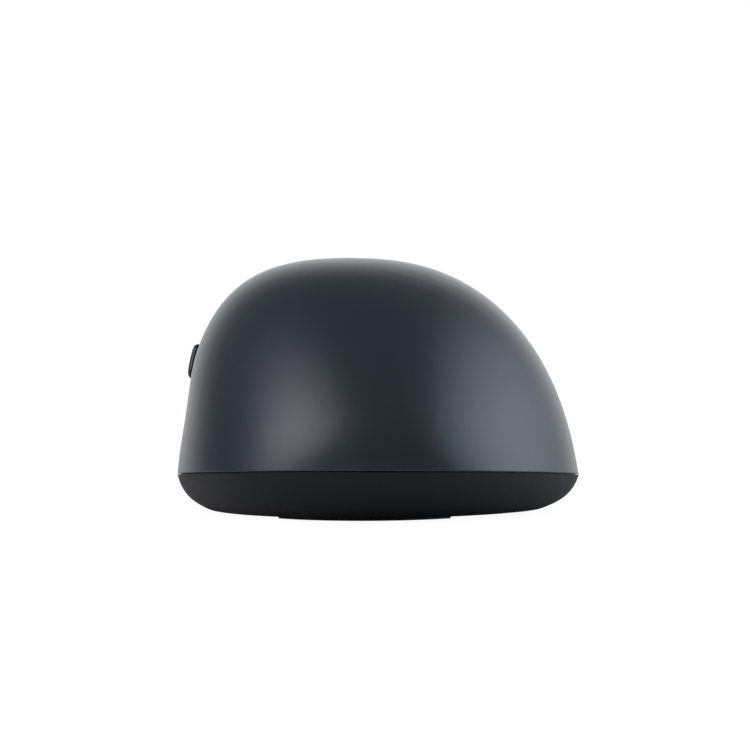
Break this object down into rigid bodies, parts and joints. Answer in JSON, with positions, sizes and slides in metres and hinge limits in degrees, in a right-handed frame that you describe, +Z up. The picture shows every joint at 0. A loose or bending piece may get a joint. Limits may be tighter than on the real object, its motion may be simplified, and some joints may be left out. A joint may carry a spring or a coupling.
{
  "type": "wireless gaming mouse",
  "caption": "Right-handed wireless computer mouse with a humped shell, split main buttons, clickable scroll wheel, thumb buttons and a charging socket in the nose.",
  "frame": {"origin": "under the middle of the body, on the plane that the feet stand on", "axes": "+X to the user's right, +Y forwards to the nose with the main buttons, +Z up"},
  "size_m": [0.0689, 0.128, 0.0435],
  "materials": {
    "shell": "satin, fine texture",
    "base": "matte",
    "gloss_black": "polished",
    "tread": "matte",
    "inner_plastic": "as moulded",
    "steel": "plain",
    "tin": "tinned",
    "board": "solder mask",
    "switch_case": "moulded",
    "plunger": "moulded",
    "chip": "moulded",
    "ivory": "moulded",
    "lamp": "moulded",
    "lead": "insulated wire",
    "clear": "clear",
    "foam": "closed-cell foam",
    "foil": "pouch foil",
    "glide": "smooth"
  },
  "bodies": {
    "housing": {"top_shell": "shell", "bottom_shell": "base", "button_bridge": "inner_plastic", "hinge_pins": "steel", "button_springs": "steel", "status_lamp": "lamp", "status_light": "clear", "carrier_pin": "steel", "main_board": "board", "left_switch": "switch_case", "right_switch": "switch_case", "middle_switch": "switch_case", "dpi_switch": "switch_case", "side_switch_back": "switch_case", "side_switch_forward": "switch_case", "optical_sensor": "chip", "sensor_lens": "clear", "processor_chip": "chip", "radio_shield": "tin", "usb_socket": "tin", "scroll_detector": "chip", "scroll_emitter": "clear", "power_switch": "tin", "battery_pad": "foam", "battery": "foil", "battery_connector": "ivory", "battery_leads": "lead", "side_board": "board", "side_bracket": "inner_plastic", "ribbon_connector": "ivory", "side_ribbon": "ivory", "rear_foot": "glide", "front_foot": "glide", "sensor_foot": "glide", "shell_screws": "steel", "bridge_screws": "steel", "board_screws": "steel"},
    "left_button": {"left_button": "shell"},
    "right_button": {"right_button": "shell"},
    "left_plunger": {"left_plunger": "plunger"},
    "right_plunger": {"right_plunger": "plunger"},
    "click_frame": {"wheel_carrier": "inner_plastic"},
    "scroll_wheel": {"scroll_tyre": "tread", "scroll_hub": "inner_plastic", "scroll_axle": "steel"},
    "middle_plunger": {"middle_plunger": "plunger"},
    "dpi_button": {"dpi_button": "gloss_black"},
    "dpi_plunger": {"dpi_plunger": "plunger"},
    "side_button_back": {"side_button_back": "gloss_black"},
    "side_plunger_back": {"side_plunger_back": "plunger"},
    "side_button_forward": {"side_button_forward": "gloss_black"},
    "side_plunger_forward": {"side_plunger_forward": "plunger"},
    "power_slider": {"power_slider": "gloss_black"}
  },
  "joints": [
    {"name": "left_button_press", "type": "hinge", "parent": "housing", "child": "left_button", "pos_m": [-0.001, 0.002, 0.031], "axis": [-1, 0, 0], "range_deg": [0, 0.8], "stiffness_Nm_per_rad": 1.5, "springref_deg": -0.69},
    {"name": "left_plunger_travel", "type": "slide", "parent": "housing", "child": "left_plunger", "axis": [0, 0, -1], "range_m": [0, 0.0006]},
    {"name": "right_button_press", "type": "hinge", "parent": "housing", "child": "right_button", "pos_m": [-0.001, 0.002, 0.031], "axis": [-1, 0, 0], "range_deg": [0, 0.8], "stiffness_Nm_per_rad": 1.5, "springref_deg": -0.69},
    {"name": "right_plunger_travel", "type": "slide", "parent": "housing", "child": "right_plunger", "axis": [0, 0, -1], "range_m": [0, 0.0006]},
    {"name": "wheel_click", "type": "hinge", "parent": "housing", "child": "click_frame", "pos_m": [-0.001, 0.054, 0.013], "axis": [1, 0, 0], "range_deg": [0, 1.25], "stiffness_Nm_per_rad": 1.2, "springref_deg": -0.57},
    {"name": "wheel_turn", "type": "hinge", "parent": "click_frame", "child": "scroll_wheel", "pos_m": [-0.001, 0.038, 0.0224], "axis": [1, 0, 0], "continuous": true},
    {"name": "middle_plunger_travel", "type": "slide", "parent": "housing", "child": "middle_plunger", "axis": [0, 0, -1], "range_m": [0, 0.00052]},
    {"name": "dpi_press", "type": "slide", "parent": "housing", "child": "dpi_button", "axis": [0, 0, -1], "range_m": [0, 0.0003], "stiffness_N_per_m": 900, "springref_m": -0.0004},
    {"name": "dpi_plunger_travel", "type": "slide", "parent": "housing", "child": "dpi_plunger", "axis": [0, 0, -1], "range_m": [0, 0.0003]},
    {"name": "side_back_press", "type": "slide", "parent": "housing", "child": "side_button_back", "axis": [1, 0, 0], "range_m": [0, 0.0008], "stiffness_N_per_m": 900, "springref_m": -0.0004},
    {"name": "side_back_plunger_travel", "type": "slide", "parent": "housing", "child": "side_plunger_back", "axis": [1, 0, 0], "range_m": [0, 0.0008]},
    {"name": "side_forward_press", "type": "slide", "parent": "housing", "child": "side_button_forward", "axis": [1, 0, 0], "range_m": [0, 0.0008], "stiffness_N_per_m": 900, "springref_m": -0.0004},
    {"name": "side_forward_plunger_travel", "type": "slide", "parent": "housing", "child": "side_plunger_forward", "axis": [1, 0, 0], "range_m": [0, 0.0008]},
    {"name": "power_slide", "type": "slide", "parent": "housing", "child": "power_slider", "axis": [1, 0, 0], "range_m": [0, 0.0025]}
  ],
  "couplings": [
    {"joint": "left_plunger_travel", "follows": "left_button_press", "m_per_rad": 0.042},
    {"joint": "right_plunger_travel", "follows": "right_button_press", "m_per_rad": 0.042},
    {"joint": "middle_plunger_travel", "follows": "wheel_click", "m_per_rad": 0.023},
    {"joint": "dpi_plunger_travel", "follows": "dpi_press", "ratio": 1},
    {"joint": "side_back_plunger_travel", "follows": "side_back_press", "ratio": 1},
    {"joint": "side_forward_plunger_travel", "follows": "side_forward_press", "ratio": 1}
  ]
}
